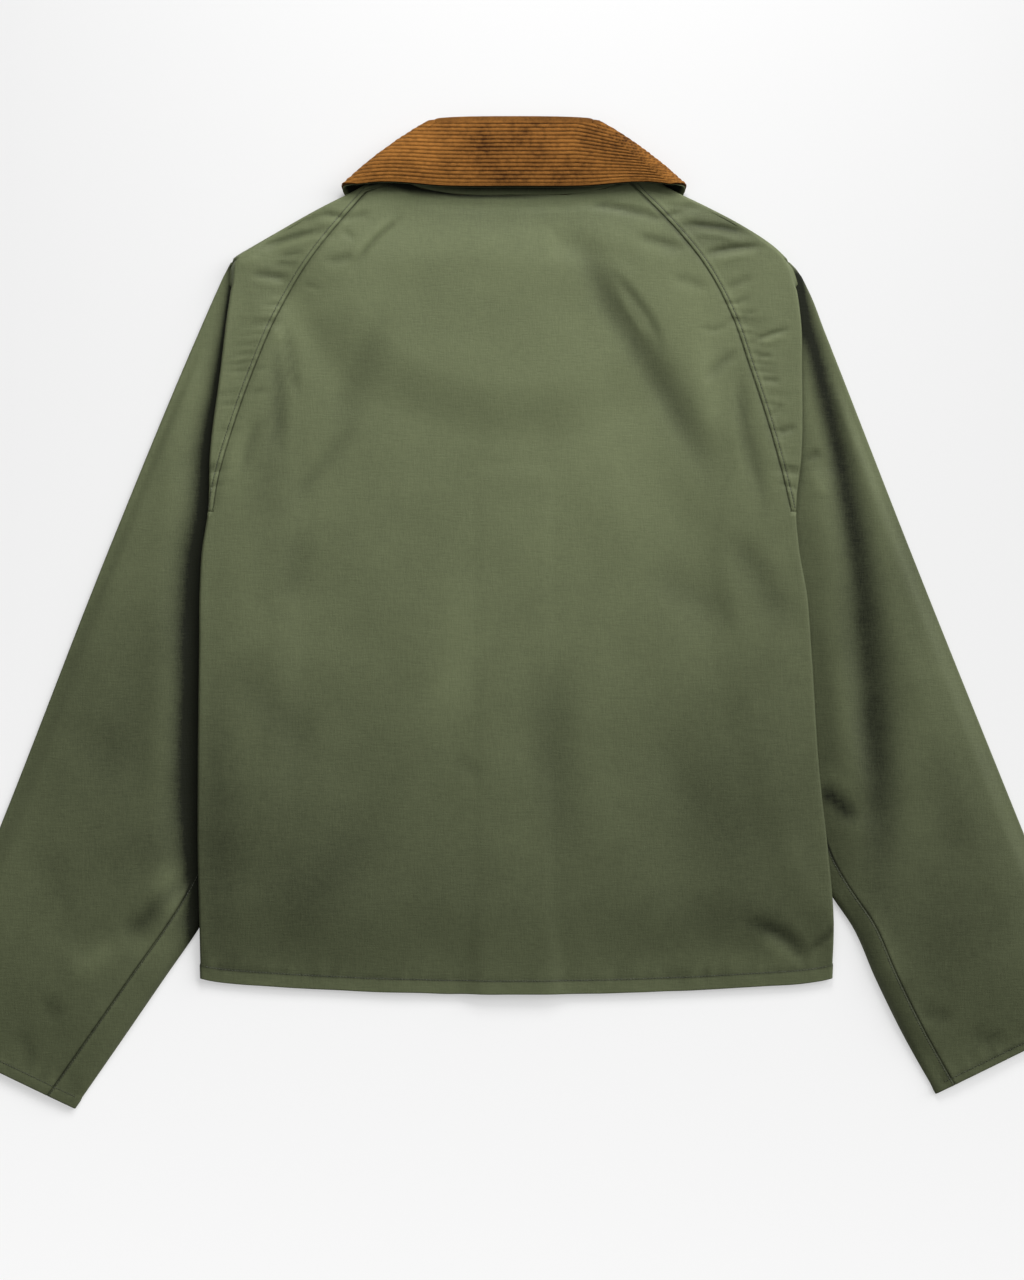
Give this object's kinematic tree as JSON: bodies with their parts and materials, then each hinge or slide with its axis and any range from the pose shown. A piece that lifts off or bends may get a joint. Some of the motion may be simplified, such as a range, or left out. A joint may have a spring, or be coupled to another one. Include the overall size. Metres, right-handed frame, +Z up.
{
  "type": "waxed jacket",
  "caption": "Short waxed cotton jacket with raglan sleeves and a folded corduroy collar, laid flat face down with its back on top.",
  "frame": {"origin": "centre of the jacket's outer box, on the surface that it lies on", "axes": "+X towards the right as seen from above, across the sleeves; +Y from the hem towards the collar; +Z up, out of the back"},
  "size_m": [0.9556, 0.801, 0.0163],
  "materials": {
    "waxed_cotton": "waxed, dull sheen",
    "corduroy": "ribbed pile",
    "stud_metal": "aged"
  },
  "bodies": {
    "root": {"back": "waxed_cotton", "front_left": "waxed_cotton", "front_right": "waxed_cotton", "sleeve_left": "waxed_cotton", "sleeve_right": "waxed_cotton", "collar_top": "corduroy", "collar_under": "waxed_cotton", "press_stud_1": "stud_metal", "press_stud_2": "stud_metal", "press_stud_3": "stud_metal", "press_stud_4": "stud_metal", "press_stud_5": "stud_metal"}
  },
  "joints": []
}
